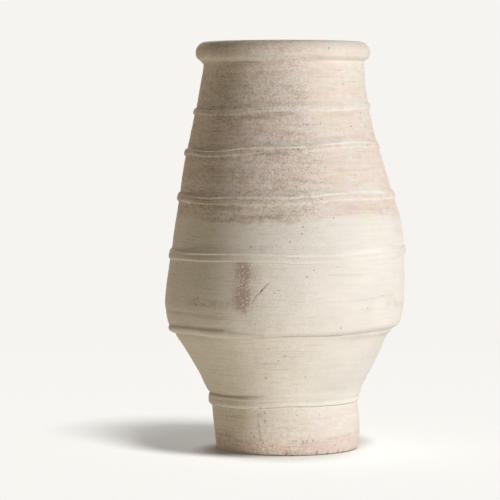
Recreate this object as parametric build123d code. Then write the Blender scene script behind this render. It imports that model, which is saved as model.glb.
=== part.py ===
from build123d import *
import math
import os

# A tall storage jar, raised in wheel-thrown sections on a floor slab. Each section stands on the
# one below, keyed into a groove drawn in its top edge, and a clay band is pressed over every seam.
# A thick coil rolled over the neck makes the rim.
# Millimetres, +Z up, the origin at the centre of the underside.

# Floor slab, which narrows to its underside, and the coil pressed into the corner of slab and foot
FLOOR_THICKNESS = 24.0
FLOOR_RADIUS = 143.0
FLOOR_TAPER = 3.5
FLOOR_EDGE_ROUND = 7.0
FLOOR_COIL_SIZE = 18.0

# Wall sections from the foot up: height, how far the outside flares from bottom to top (below zero it
# draws in), and how far the side bows out
WALL = 22.0
FOOT_HEIGHT = 80.0
FOOT_FLARE = -0.5
FOOT_BOW = 2.0
LOWER_HEIGHT = 132.0
LOWER_FLARE = 72.0
LOWER_BOW = 1.0
BELLY_HEIGHT = 151.0
BELLY_FLARE = 4.0
BELLY_BOW = 8.5
SHOULDER_HEIGHT = 111.0
SHOULDER_FLARE = -18.5
SHOULDER_BOW = 4.2
UPPER_SHOULDER_HEIGHT = 93.5
UPPER_SHOULDER_FLARE = -21.0
UPPER_SHOULDER_BOW = 1.2
COLLAR_HEIGHT = 78.0
COLLAR_FLARE = -19.0
COLLAR_BOW = 0.8
NECK_HEIGHT = 94.0
NECK_FLARE = -12.0
NECK_BOW = -1.0

# The belly section stands out past the top of the lower wall by this much
KEEL_STEP = 10.0

# Key of every seam: a bead under the upper piece, in a wider groove in the lower piece's top edge
KEY_RADIUS = 4.0
KEY_CLEARANCE = 0.3

# Rim coil: its section, how far it hangs out past the neck, and the depth of the flat it sits on
RIM_COIL_RADIUS = 20.5
RIM_COIL_OVERHANG = 14.0
RIM_COIL_FLAT = 4.5

# Seam bands from the foot up: height, how far they stand proud, the rise of their right side, and, on
# those that were smoothed with a fingertip, the depth of the groove that it left between two ridges
FINGERTIP_RADIUS = 6.0
FOOT_BAND_HEIGHT = 23.0
FOOT_BAND_PROUD = 7.5
FOOT_BAND_RISE = 4.4
KEEL_BAND_HEIGHT = 17.0
KEEL_BAND_PROUD = 9.0
KEEL_BAND_RISE = 1.5
BELLY_BAND_HEIGHT = 19.0
BELLY_BAND_PROUD = 5.7
BELLY_BAND_RISE = 3.8
BELLY_BAND_GROOVE = 1.5
SHOULDER_BAND_HEIGHT = 16.0
SHOULDER_BAND_PROUD = 6.5
SHOULDER_BAND_RISE = 3.0
SHOULDER_BAND_GROOVE = 1.6
COLLAR_BAND_HEIGHT = 12.0
COLLAR_BAND_PROUD = 4.2
COLLAR_BAND_RISE = 7.0
COLLAR_BAND_GROOVE = 0.9
NECK_BAND_HEIGHT = 12.0
NECK_BAND_PROUD = 4.5
NECK_BAND_RISE = 6.0

# Name, height, flare, bow and foot step-out of each wall section, from the foot up
SECTIONS = [
    ("foot_wall", FOOT_HEIGHT, FOOT_FLARE, FOOT_BOW, 0.0),
    ("lower_wall", LOWER_HEIGHT, LOWER_FLARE, LOWER_BOW, 0.0),
    ("belly_wall", BELLY_HEIGHT, BELLY_FLARE, BELLY_BOW, KEEL_STEP),
    ("shoulder_wall", SHOULDER_HEIGHT, SHOULDER_FLARE, SHOULDER_BOW, 0.0),
    ("upper_shoulder_wall", UPPER_SHOULDER_HEIGHT, UPPER_SHOULDER_FLARE, UPPER_SHOULDER_BOW, 0.0),
    ("collar_wall", COLLAR_HEIGHT, COLLAR_FLARE, COLLAR_BOW, 0.0),
    ("neck_wall", NECK_HEIGHT, NECK_FLARE, NECK_BOW, 0.0),
]

# Name, height, proud, rise and groove of the band over the top seam of each section but the neck
BANDS = [
    ("foot_band", FOOT_BAND_HEIGHT, FOOT_BAND_PROUD, FOOT_BAND_RISE, 0.0),
    ("keel_band", KEEL_BAND_HEIGHT, KEEL_BAND_PROUD, KEEL_BAND_RISE, 0.0),
    ("belly_band", BELLY_BAND_HEIGHT, BELLY_BAND_PROUD, BELLY_BAND_RISE, BELLY_BAND_GROOVE),
    ("shoulder_band", SHOULDER_BAND_HEIGHT, SHOULDER_BAND_PROUD, SHOULDER_BAND_RISE, SHOULDER_BAND_GROOVE),
    ("collar_band", COLLAR_BAND_HEIGHT, COLLAR_BAND_PROUD, COLLAR_BAND_RISE, COLLAR_BAND_GROOVE),
    ("neck_band", NECK_BAND_HEIGHT, NECK_BAND_PROUD, NECK_BAND_RISE, 0.0),
]


class Wall:
    """One thrown section: the outline of its outer and inner side, in the plane of radius and height."""

    def __init__(self, name, bottom, top, bottom_radius, top_radius, bow, inner_bottom, inner_top):
        self.name = name
        self.bottom = bottom
        self.top = top
        self.bottom_radius = bottom_radius
        self.top_radius = top_radius
        self.bow = bow
        self.inner_bottom = inner_bottom
        self.inner_top = inner_top

    def outer_side(self):
        return SagittaArc((self.bottom_radius, self.bottom), (self.top_radius, self.top), -self.bow)

    def inner_side(self):
        return SagittaArc((self.inner_bottom, self.bottom), (self.inner_top, self.top), -self.bow)

    def outer_radius(self, height):
        """Outer radius at a height, with the shallow bow taken as a parabola."""
        along = (height - self.bottom) / (self.top - self.bottom)
        chord = self.bottom_radius + (self.top_radius - self.bottom_radius) * along
        return chord + 4 * self.bow * along * (1 - along)


def stack_walls():
    """Stands the sections on one another. Two that meet share the inner radius at their seam."""
    walls = []
    bottom = FLOOR_THICKNESS
    seam_radius = FLOOR_RADIUS
    for name, height, flare, bow, step in SECTIONS:
        top = bottom + height
        bottom_radius = seam_radius + step
        top_radius = bottom_radius + flare
        walls.append(
            Wall(name, bottom, top, bottom_radius, top_radius, bow, seam_radius - WALL, top_radius - WALL)
        )
        bottom = top
        seam_radius = top_radius
    return walls


def turned(face):
    """A profile in the plane of radius and height, turned into a solid about the jar's axis."""
    return revolve(Plane.XZ * face, Axis.Z)


def key(seam_radius, height, radius):
    """Round section of a seam's key, on the middle of the wall at a seam."""
    return Pos(seam_radius - WALL / 2, height) * Circle(radius)


def below(height, reach):
    """A block that fills everything under a height, out to a radius."""
    return Pos(reach / 2, height - reach / 2) * Rectangle(reach, reach)


def bead(seam_radius, height):
    """The half of a key that hangs below the piece standing on a seam."""
    return key(seam_radius, height, KEY_RADIUS) & below(height, 2 * seam_radius)


def groove(seam_radius, height):
    return key(seam_radius, height, KEY_RADIUS + KEY_CLEARANCE)


def floor_slab():
    bottom_radius = FLOOR_RADIUS - FLOOR_TAPER
    corners = [(0, 0), (bottom_radius, 0), (FLOOR_RADIUS, FLOOR_THICKNESS), (0, FLOOR_THICKNESS)]
    profile = make_face(Polyline(*corners, close=True))
    lower_edge = profile.vertices().sort_by_distance((bottom_radius, 0))[0]
    profile = fillet(lower_edge, FLOOR_EDGE_ROUND)
    return turned(profile - groove(FLOOR_RADIUS, FLOOR_THICKNESS))


def wall_profile(wall):
    """Outline of a section without its keys."""
    outer = wall.outer_side()
    inner = wall.inner_side()
    return make_face([outer, inner, Line(outer @ 0, inner @ 0), Line(outer @ 1, inner @ 1)])


def wall_section(wall):
    """A section with a bead under its foot and a groove in its top edge."""
    profile = wall_profile(wall) - groove(wall.top_radius, wall.top)
    return turned(profile + bead(wall.inner_bottom + WALL, wall.bottom))


def floor_coil(foot):
    """Coil in the corner of the floor and the foot, smoothed hollow with a finger."""
    corner_radius = foot.inner_bottom
    floor = FLOOR_THICKNESS
    block = Pos(corner_radius, floor + FLOOR_COIL_SIZE / 2) * Rectangle(2 * FLOOR_COIL_SIZE, FLOOR_COIL_SIZE)
    finger = Pos(corner_radius - FLOOR_COIL_SIZE, floor + FLOOR_COIL_SIZE) * Circle(FLOOR_COIL_SIZE)
    return turned(block - finger - wall_profile(foot))


def rim_roll(neck):
    """Round coil that hangs out over the neck, on a flat seat with its own key."""
    centre_radius = neck.top_radius + RIM_COIL_OVERHANG - RIM_COIL_RADIUS
    centre_height = neck.top - RIM_COIL_FLAT + RIM_COIL_RADIUS
    coil = Pos(centre_radius, centre_height) * Circle(RIM_COIL_RADIUS)
    return turned(coil - below(neck.top, 2 * centre_radius) + bead(neck.top_radius, neck.top))


def jar_core(walls):
    """The jar's outside filled solid, which every band is shaped to."""
    outline = [Line((0, walls[0].bottom), (walls[0].bottom_radius, walls[0].bottom))]
    for wall, next_wall in zip(walls, walls[1:]):
        outline.append(wall.outer_side())
        if next_wall.bottom_radius != wall.top_radius:
            outline.append(Line((wall.top_radius, wall.top), (next_wall.bottom_radius, wall.top)))
    neck = walls[-1]
    outline.append(neck.outer_side())
    outline.append(Line((neck.top_radius, neck.top), (0, neck.top)))
    outline.append(Line((0, neck.top), (0, walls[0].bottom)))
    # The quarter turn keeps the seam edge of this solid away from the seam edge of the rings it is cut from
    return Rot(0, 0, 90) * turned(make_face(outline))


def band_section(height, proud, finger_groove):
    """Flattened roll of clay, with the groove of a fingertip along its face where it has one."""
    roll = Ellipse(proud, height / 2)
    if finger_groove > 0:
        roll -= Pos(proud + FINGERTIP_RADIUS - finger_groove, 0) * Circle(FINGERTIP_RADIUS)
    return roll


def seam_band(lower, upper, core, height, proud, rise, finger_groove):
    """A clay band laid round a seam. It rises to one side, and its back takes the wall's shape."""
    low_radius = lower.outer_radius(lower.top - height / 2)
    high_radius = upper.outer_radius(lower.top + height / 2)
    seat_radius = (low_radius + high_radius) / 2
    wall_slope = (high_radius - low_radius) / height
    lean = math.degrees(math.atan(rise / seat_radius))
    ring = turned(Pos(seat_radius, 0) * band_section(height, proud, finger_groove))
    return Pos(wall_slope * rise, 0, lower.top) * Rot(0, -lean, 0) * ring - core


walls = stack_walls()
core = jar_core(walls)
pieces = {"base_slab": floor_slab(), "floor_coil": floor_coil(walls[0]), "rim_roll": rim_roll(walls[-1])}
for wall in walls:
    pieces[wall.name] = wall_section(wall)
for number, (name, *band_sizes) in enumerate(BANDS):
    pieces[name] = seam_band(walls[number], walls[number + 1], core, *band_sizes)

os.makedirs("parts", exist_ok=True)
for name, piece in pieces.items():
    export_step(piece, f"parts/{name}.step")
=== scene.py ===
import math

import bpy
import numpy as np
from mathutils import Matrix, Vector


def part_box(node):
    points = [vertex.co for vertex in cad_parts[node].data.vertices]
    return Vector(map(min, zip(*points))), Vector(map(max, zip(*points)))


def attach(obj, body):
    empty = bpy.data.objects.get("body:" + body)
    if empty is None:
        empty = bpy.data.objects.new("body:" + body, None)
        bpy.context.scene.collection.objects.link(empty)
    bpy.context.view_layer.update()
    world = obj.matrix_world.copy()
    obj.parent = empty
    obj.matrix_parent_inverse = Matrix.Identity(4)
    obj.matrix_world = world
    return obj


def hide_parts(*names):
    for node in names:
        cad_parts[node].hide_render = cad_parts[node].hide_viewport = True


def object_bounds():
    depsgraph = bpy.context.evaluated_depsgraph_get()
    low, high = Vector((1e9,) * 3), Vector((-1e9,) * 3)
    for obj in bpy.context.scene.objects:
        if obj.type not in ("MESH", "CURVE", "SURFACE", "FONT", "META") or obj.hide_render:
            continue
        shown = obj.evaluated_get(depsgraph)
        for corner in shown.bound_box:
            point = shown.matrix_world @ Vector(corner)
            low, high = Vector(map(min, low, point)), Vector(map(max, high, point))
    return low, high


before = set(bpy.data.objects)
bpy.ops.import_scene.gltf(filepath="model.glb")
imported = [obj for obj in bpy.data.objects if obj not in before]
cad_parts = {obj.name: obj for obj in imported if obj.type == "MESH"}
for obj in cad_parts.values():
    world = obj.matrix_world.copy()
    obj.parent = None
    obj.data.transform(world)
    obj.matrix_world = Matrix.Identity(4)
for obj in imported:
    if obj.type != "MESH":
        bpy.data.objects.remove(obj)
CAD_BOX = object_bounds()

# A tall clay storage jar, raised in thrown sections, with a clay band pressed over every seam.
# Metres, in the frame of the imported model. Angles run round the jar from the side that faces the
# camera (-Y) towards +X. Places on the side that the photo shows are given in its pixels.
MM = 0.001
JAR_HEIGHT = CAD_BOX[1].z
BELLY_RADIUS = CAD_BOX[1].x

# Photo and camera
PHOTO_SIZE = 500
EYE = np.array([-0.0686, -5.005, 0.658])
PITCH_DOWN = math.radians(3.06)
LENS = 182.7
SENSOR = 36.0
VIEW_END = 200.0
FOCAL_PIXELS = LENS / SENSOR * PHOTO_SIZE
FORWARD = np.array([0.0, math.cos(PITCH_DOWN), -math.sin(PITCH_DOWN)])
UPWARD = np.array([0.0, math.sin(PITCH_DOWN), math.cos(PITCH_DOWN)])
SIDEWAYS = np.array([1.0, 0.0, 0.0])
# Rounds of the search for the spot that a pixel shows, and how near to the outline it may lie
SIGHT_ROUNDS = 12
OUTLINE_LIMIT = 0.998

# Mesh: columns round the jar, closer together at the front, and the height of a row of faces
COLUMNS = 640
FRONT_CROWDING = 0.45
EVEN_ANGLES = np.linspace(-math.pi, math.pi, COLUMNS, endpoint=False)
ANGLES = EVEN_ANGLES - FRONT_CROWDING * np.sin(EVEN_ANGLES)
OUTER_ROW = 1.8 * MM
INNER_ROW = 6.0 * MM
SHARP_EDGE = math.radians(50)
CURVE_STEPS = 6

# A wall's radius is measured on its solid at a few heights, clear of its edges and of its seam line
MEASURED_HEIGHTS = 9
MEASURED_DEGREE = 3
MEASURED_SIDE = math.radians(7)
CLEAR_OF_EDGES = 0.5 * MM

# Walls from the foot up, with their material slots
WALLS = [
    ("foot_wall", "cream_slip"), ("lower_wall", "cream_slip"), ("belly_wall", "cream_slip"),
    ("shoulder_wall", "cream_slip"), ("upper_shoulder_wall", "worn_slip"), ("collar_wall", "worn_slip"),
    ("neck_wall", "worn_slip"),
]
SLOTS = ["cream_slip", "worn_slip", "band_slip", "bare_clay"]

# Key under each wall section and in its top edge, as in the solids
KEY_RADIUS = 4.0 * MM
KEY_GROOVE_RADIUS = 4.3 * MM
KEY_STEPS = 5

# How far the jar's axis wanders to the right of the true one, by height, both in mm
AXIS_WANDER = [
    (0, 4.8), (40, 4.5), (75, 1.2), (105, -2.4), (125, -2.4), (155, -1.2), (195, -3.6), (224, -6.6),
    (240, -2.4), (292, -0.6), (351, 3), (414, 6.7), (461, 6.5), (532, 0), (615, -4.4), (700, -4),
    (748, -1.8), (772, -4), (800, -4),
]
BACK_WANDER = 2.0 * MM
BACK_WANDER_LENGTH = 0.55
# How much fuller or leaner than the solids the hand left the sides, by height, both in mm
FULLNESS = [
    (0, 0), (90, 0), (118, 1.2), (150, 0), (230, 0), (255, 1.6), (284, 2.6), (312, 0.6), (350, -0.8),
    (390, 0), (560, 0), (620, -1.6), (670, 0), (745, -0.6), (800, 0),
]

# Random swells: width round the belly and tallness in metres, and the seed
BROAD_SWELLS = (0.30, 0.17, 11)
FINGER_DENTS = (0.09, 0.06, 12)
THROWING_RINGS = (0.60, 0.012, 13)
DRAG_MARKS = (0.16, 0.006, 14)
GROOVE_BREAKS = (0.07, 0.05, 15)
INNER_RING_DRIFT = (0.5, 0.09, 21)
INNER_DENTS = (0.12, 0.07, 22)
RAGGED_BROAD = (0.05, 0.02, 61)
RAGGED_FINE = (0.018, 0.009, 62)
CRACK_BREAKS = (0.1, 0.006, 63)
WIRE_DRIFT = (0.3, 0.2, 81)
DENT_DRIFT = (0.25, 0.2, 82)

# Relief that the hand left outside, and the finger rings inside, which climb as they go round
HAND_RELIEF = [
    (0.6 * MM, BROAD_SWELLS), (0.35 * MM, FINGER_DENTS), (0.28 * MM, THROWING_RINGS), (0.10 * MM, DRAG_MARKS),
]
INNER_RING_CLIMB = 16 * MM
INNER_RING_DEPTH = 0.8 * MM
INNER_RING_SWAY = 1.2
INNER_DENT_DEPTH = 0.8 * MM

# Middle lines of the bands on the front, in the photo's pixels
FOOT_LINE = [
    (209, 398), (219, 400.2), (236, 402.2), (262, 402.6), (288, 401.4), (322, 400), (345, 398), (360, 393),
]
KEEL_LINE = [
    (171, 329), (202, 333), (219, 335), (240, 336.3), (256, 335.8), (272, 335), (290, 334.7), (310, 334.6),
    (334, 334.4), (350, 332.8), (372, 330.2), (391, 327),
]
BELLY_LINE = [
    (168, 253), (184, 254.8), (219, 255.9), (253, 256.6), (288, 257.8), (322, 258), (357, 255.5), (382, 253),
    (403, 249.6),
]
SHOULDER_LINE = [
    (176, 196), (187, 197.4), (219, 199.4), (253, 199.6), (288, 199.8), (313, 198), (339, 195.5), (374, 194),
    (394, 193.5),
]
COLLAR_LINE = [
    (184, 151.5), (202, 152.2), (219, 152.6), (236, 150.8), (253, 149.6), (270, 149.1), (296, 148.8),
    (314, 147.2), (331, 145.2), (348, 144.1), (365, 143.8), (379, 145),
]
NECK_LINE = [
    (194, 111), (215, 112.2), (236, 111.2), (253, 109.4), (288, 108.8), (322, 108.4), (340, 107.6),
    (357, 106.6), (370, 105.6),
]
# A line runs on round the back as a sum of waves, kept calm by a stiffness
LINE_WAVES = 7
LINE_STIFFNESS = 0.012

# Sections of the bands: firm on the left, smeared on the right and, but for the foot's and the keel's, plain
# at both outlines. Height from the middle line in half heights, share of the stand-out, and how pale it is:
# pale slip, and painted highlight along the light lines of the bevels
FIRM_ROLL = [
    (-1.35, 0, 0), (-1.14, 0.02, 0.2), (-1.04, 0.34, 1), (-0.86, 0.72, 1), (-0.45, 0.8, 0.8),
    (0, 0.86, 0.7), (0.36, 0.98, 0.7), (0.6, 1, 0.5), (1, 0.76, 0.1), (1.6, 0.34, 0),
    (2.2, 0, 0),
]
SMEARED_ROLL = [
    (-1.7, 0, 0), (-1.3, 0.06, 0.1), (-1, 0.24, 0.3), (-0.65, 0.58, 0.5), (-0.25, 0.88, 0.6),
    (0.15, 1, 0.6), (0.55, 0.92, 0.4), (1, 0.7, 0.2), (1.5, 0.4, 0), (2, 0.14, 0),
    (2.5, 0, 0),
]
PLAIN_ROLL = [
    (-1.35, 0, 0), (-1.12, 0.06, 0), (-1, 0.34, 0.3), (-0.8, 0.66, 0.5), (-0.45, 0.9, 0.5),
    (0, 1, 0.4), (0.45, 0.94, 0.3), (0.75, 0.7, 0), (0.95, 0.34, 0), (1.1, 0.06, 0),
    (1.35, 0, 0),
]
FIRM_RIDGES = [
    (-1.42, 0, 0), (-1.18, 0, 0.3), (-1.1, 0.26, 1), (-0.97, 0.74, 1), (-0.82, 0.96, 1),
    (-0.58, 0.88, 0.3), (-0.2, 0.7, 0), (0.12, 0.52, 0.2), (0.2, 0.78, 1), (0.34, 1.14, 1),
    (0.48, 1.2, 0.9), (0.68, 1, 0), (1.2, 0.6, 0), (1.8, 0.18, 0), (2.3, 0, 0),
]
SMEARED_RIDGES = [
    (-1.55, 0, 0), (-1.25, 0.04, 0.1), (-1.06, 0.28, 0.5), (-0.92, 0.62, 0.8), (-0.76, 0.8, 0.8),
    (-0.5, 0.78, 0.2), (-0.18, 0.7, 0), (0.06, 0.68, 0.2), (0.18, 0.76, 0.8), (0.36, 0.96, 1),
    (0.56, 1.02, 1), (0.9, 0.84, 0.6), (1.4, 0.48, 0.2), (1.95, 0.15, 0), (2.4, 0, 0),
]
PLAIN_RIDGES = [
    (-1.35, 0, 0), (-1.14, 0.05, 0), (-1, 0.34, 0.5), (-0.84, 0.66, 0.8), (-0.66, 0.86, 0.5),
    (-0.42, 0.96, 0.2), (-0.1, 1, 0.1), (0.06, 1, 0), (0.18, 0.98, 0), (0.34, 0.94, 0),
    (0.5, 0.84, 0), (0.74, 0.6, 0), (0.92, 0.26, 0), (1.05, 0.05, 0), (1.3, 0, 0),
]
FIRM_STRAP = [
    (-1.3, 0, 0), (-1.12, 0.04, 0), (-1.02, 0.32, 0.9), (-0.86, 0.7, 1), (-0.64, 0.98, 0.6),
    (-0.25, 1, 0), (0.3, 0.96, 0), (0.66, 0.82, 0), (0.88, 0.42, 0), (1.02, 0.05, 0),
    (1.25, 0, 0),
]
SMEARED_STRAP = [
    (-1.2, 0, 0), (-1.04, 0.04, 0), (-0.98, 0.36, 0.2), (-0.88, 0.72, 0.4), (-0.68, 0.94, 0.3),
    (-0.2, 1, 0.1), (0.3, 0.86, 0), (0.7, 0.56, 0), (1, 0.3, 0), (1.4, 0.09, 0),
    (1.8, 0, 0),
]
# Sections of the keel band about the belly's lower edge, in mm: height, stand-out, how pale (pale slip, and
# painted highlight on its lower bevel), and 0 where it lies on the lower wall to 1 where it lies on the belly
FIRM_KEEL = [
    (-9.5, 0, 0, 0), (-7.6, 0.4, 0, 0), (-6.2, 0.9, 0.9, 0.2), (-4.4, 1, 1, 0.6),
    (-2.2, 1.1, 0.6, 0.88), (0, 1.5, 0, 1), (3, 1.9, 0, 1), (5.6, 1.7, 0, 1),
    (7.8, 1.1, 0, 1), (10, 0.5, 0, 1), (13, 0, 0, 1),
]
SMEARED_KEEL = [
    (-5.6, 0, 0, 0), (-4, 0.2, 0, 0), (-3, 0.4, 0, 0.15), (-1.8, 0.1, 0.1, 0.55),
    (0.2, 0, 0.2, 0.88), (2.8, 0.4, 0.2, 1), (6, 0.8, 0.2, 1), (9, 0.9, 0.1, 1),
    (12, 0.7, 0, 1), (15, 0.3, 0, 1), (18, 0, 0, 1),
]
# Sections of the rim roll, in mm from its middle: radius outwards, height, how pale (pale slip, and painted
# highlight under the roll on the left). Its left and its right share the crown, which runs over the top and
# down inside to a flat seat
RIM_CROWN = [
    (18.8, 8, 0), (11.4, 17.3, 0), (2.6, 20.5, 0), (-6, 20, 0), (-13.5, 15.5, 0),
    (-18.5, 8.5, 0), (-20.5, 0, 0), (-19.5, -8, 0), (-16.5, -14, 0), (-15.5, -16, 0),
]
RIM_LEFT = [
    (5, -24.2, 0), (7, -22.8, 0), (9.2, -20.8, 0.2), (10.8, -18.6, 0.7), (13.6, -15.6, 1),
    (16.8, -12.6, 1), (19, -9.6, 0.2), (20.3, -2.4, 0),
] + RIM_CROWN
RIM_RIGHT = [
    (5, -22, 0.2), (6.3, -19.4, 0.3), (8.4, -17.2, 0.3), (11.6, -15, 0.2), (15.2, -12.4, 0.1),
    (17.9, -9.4, 0.1), (19.2, -6.2, 0.1), (20.3, -1, 0),
] + RIM_CROWN
RIM_SEAT = [(-9, -16, 0), (-2, -16, 0), (4, -16, 0)]
RIM_COIL_RADIUS = 20.5 * MM
RIM_HAND_SHARE = 0.7
RIM_OUTSIDE = (-18 * MM, -6 * MM)
# Painted shade under the roll on the left: how dark, the depths below its middle, and where round the jar by
# the sine of the angle
RIM_UNDER_SHADE = 0.45
RIM_UNDER_SHADE_DEPTH = (19.5 * MM, 21.5 * MM)
RIM_UNDER_SHADE_SPAN = ((-0.86, -0.70), (-0.42, -0.20))

# Where a section turns from firm to smeared and to its plain ends, by the sine of the angle
SECTION_STEPS = 3
BAND_TURN = (-0.30, 0.45)
FOOT_TURN = (-0.42, -0.08)
KEEL_TURN = (-0.36, 0.04)
LEFT_END = (-0.93, -0.70)
RIGHT_END = (0.84, 0.97)

# Bands: node, line, sections, half height and stand-out in mm, how much flatter it is pressed on the right,
# seed, and the painted shadow under its lower edge
STRAP = (FIRM_STRAP, SMEARED_STRAP, None, FOOT_TURN)
RIDGES = (FIRM_RIDGES, SMEARED_RIDGES, PLAIN_RIDGES)
ROLL = (FIRM_ROLL, SMEARED_ROLL, PLAIN_ROLL)
FOOT_BAND = ("foot_band", FOOT_LINE, STRAP, 11.5, 6.0, 0.15, 31, 0.35)
UPPER_BANDS = [
    ("belly_band", BELLY_LINE, RIDGES, 10.2, 5.2, 0.45, 41, 0.0),
    ("shoulder_band", SHOULDER_LINE, RIDGES, 9.8, 5.0, 0.32, 46, 0.0),
    ("collar_band", COLLAR_LINE, RIDGES, 7.4, 4.2, 0.28, 51, 0.0),
    ("neck_band", NECK_LINE, ROLL, 6.5, 4.2, 0.30, 56, 0.0),
]
KEEL_SEED = 36
RIM_SEED = 71
# Unevenness along a band: how much, over what length in metres, and which draw after the band's seed
BAND_LINE_WAVER = (0.5 * MM, 0.05, 0)
BAND_BREADTH = (0.12, 0.09, 1)
BAND_PRESS = (0.16, 0.11, 2)
BAND_SLIP = (0.5, 0.08, 3)
BAND_SHADE_UNEVEN = (1.0, 0.07, 4)
BAND_CREST_WAVER = (0.10, 0.035, 5)
BAND_FINE_SLIP = (0.3, 0.02, 6)
KEEL_LINE_WAVER = (0.4 * MM, 0.06, 0)
KEEL_PRESS = (0.2, 0.11, 1)
KEEL_SLIP = (0.7, 0.08, 2)
KEEL_SHADE_UNEVEN = (0.6, 0.07, 3)
RIM_SLIP = (0.6, 0.1, 0)
# The back of a band is sunk in the wall, and its edges are tucked in
BAND_SINK = 2.0 * MM
BAND_BACK_STEPS = 5
EDGE_TUCK = 0.3 * MM
EDGE_STAND = 0.01
# Degrees between which the bands are pressed flatter, and how far from the middle line the crests waver
PRESSED_SPAN = ((-12, 12), (55, 84))
WAVER_REACH = 1.5
# Slip on the bands, pale and partly painted highlight: how pale it is, how much of them it covers, and where
# less of it is left on the right
BAND_PALE_AND_HIGHLIGHT = 0.95
BAND_COVER = 0.8
KEEL_COVER = 0.65
RIM_COVER = 0.8
COVER_LOSS = (0.35, 0.0, 0.4)
# Share of the walls' wear and stains that shows on the bands
BAND_WORN = 0.92
BAND_STAINED = 0.15
# Painted shade in the corners of a band: how much, and the half heights over which it comes and goes
BAND_CORNERS = [
    (1.0, (-1.42, -1.25), (-1.16, -1.06)),
    (0.45, (-0.45, 0.0), (0.10, 0.20)),
    (0.5, (0.48, 0.60), (0.70, 0.95)),
]
CORNER_SHADE = 0.45
CORNER_SHADE_COVER = 0.5
CORNER_SHADE_LOSS = (0.7, -0.1, 0.3)
# Painted shadow under a band's lower edge: where round the jar it starts, and where it lies across the band
UNDERCUT_FROM = (-0.38, -0.2)
UNDERCUT_PLACE = (-1.0, 0.12)
# Painted shade under the keel band's lip: on its left, more of it on its right, and how it lies between the
# two walls
KEEL_SHADE_LEFT = 0.15
KEEL_SHADE_MORE = 0.3
KEEL_SHADE_TURN = (-0.2, 0.1)
KEEL_SHADE_COVER = 0.6
KEEL_SHADE_PLACE = (0.10, 0.14)
KEEL_SHADE_STAND = 0.15
# The belly wall is tucked in behind the keel band over this half height, under the lower wall's face
TUCK_HALF = 1.5 * MM
TUCK_DEPTH = 0.6 * MM

# Floor slab: how it narrows, its rounded lower edge, its rows, and its side above the edge as depth in and
# share of its thickness
SLAB_TAPER = 3.5 * MM
SLAB_EDGE_ROUND = 4.0 * MM
SLAB_EDGE_START = 0.12
SLAB_EDGE_STEPS = 7
SLAB_SIDE = [(0.0, 1.0), (0.9 * MM, 0.75), (1.8 * MM, 0.5)]
SLAB_MIDDLE = 3 * MM
SLAB_MARGIN = 2 * MM
SLAB_TOP_ROWS = 56
SLAB_UNDER_ROWS = 70
SLAB_OUTSIDE = (20 * MM, 6 * MM)
# Wire-cut arcs below, about a point beside the jar, and finger rings on the floor
WIRE_CENTRE = (-0.31, -0.12)
WIRE_PITCH = 9 * MM
WIRE_DEPTH = 0.5 * MM
WIRE_SWAY = 1.5
WIRE_MARGIN = (14 * MM, 6 * MM)
FLOOR_RING_PITCH = 13 * MM
FLOOR_RING_DEPTH = 0.9 * MM
FLOOR_RING_SPAN = ((6 * MM, 20 * MM), (88 * MM, 100 * MM))
# Coil in the inner corner: its rows, how far it is let into floor and wall, and the fingertip dents in it
COIL_STEPS = 9
COIL_BACK_ROWS = 4
COIL_UNDER = (0.3, 0.6, 0.9)
COIL_OVERLAP = 1 * MM
COIL_DENTS = 34
COIL_DENT_DEPTH = 1.6 * MM
COIL_DENT_SWAY = 2.0

# Marks on the front: strokes through pixels
GOUGE = [(268.5, 282.8), (264.3, 287.2), (260.6, 291.4), (255.5, 296.3)]
GOUGE_DEEP = [(261.8, 289.6), (260, 292)]
GOUGE_TAIL = [(255, 297), (252.5, 301.5)]
KEEL_CREASE = [(228, 332.4), (245, 334.4), (262, 335.8)]
NECK_SCRATCH = [(279, 96.5), (289, 96), (300, 93)]
COLLAR_REMNANT = [(204, 162), (225, 162)]
LOW_BELLY_LINE = [(347, 301.8), (366, 299.6), (392, 294.8)]
HIGH_BELLY_LINE = [(329, 274.8), (346, 275.4), (363, 274.2)]
HIGH_FOOT_LINE = [(222, 415), (246, 417.5), (262, 416)]
LOW_FOOT_LINE = [(270, 419), (300, 420.4), (330, 417.6)]
# Width and depth in mm of each (below zero it stands out), and how much dirt it holds
CUTS = [
    (GOUGE, 1.0, 0.9, 0.65), (GOUGE_DEEP, 1.3, 1.3, 1.0), (GOUGE_TAIL, 1.8, 0.4, 0.3),
    (KEEL_CREASE, 3.0, 1.2, 0.2), (NECK_SCRATCH, 2.2, 0.5, 0.0), (COLLAR_REMNANT, 3.0, -0.6, 0.0),
    (LOW_BELLY_LINE, 1.8, 0.35, 0.1), (HIGH_BELLY_LINE, 1.8, 0.3, 0.1),
    (HIGH_FOOT_LINE, 1.8, 0.35, 0.12), (LOW_FOOT_LINE, 1.8, 0.35, 0.12),
]
STROKE_REACH = 3
# Long grooves on the left that run on to the back: a line through pixels, width and depth in mm, how much
# painted shade darkens them, and the angles in degrees over which they fade in behind and fade out in front
BELLY_GROOVE = [(170, 311), (190, 313.5), (211, 315.8), (241, 317.4), (330, 316), (400, 309)]
KEEL_GROOVE = [(167, 324.8), (185, 326.6), (204, 328.6), (223, 330.4), (300, 331), (395, 321)]
FOOT_GROOVE = [(208, 392.4), (219, 394.8), (231, 396.4), (257, 396.8), (300, 395), (360, 388)]
GROOVES = [
    (BELLY_GROOVE, 3.6, 0.9, 0.22, (-170, -120), (-40, -14)),
    (KEEL_GROOVE, 4.0, 2.1, 0.42, (-160, -110), (-37, -24)),
    (FOOT_GROOVE, 3.2, 2.0, 0.50, (-165, -125), (-38, -8)),
]
GROOVE_EVEN = 0.85
GROOVE_UNEVEN = 0.3
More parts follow.
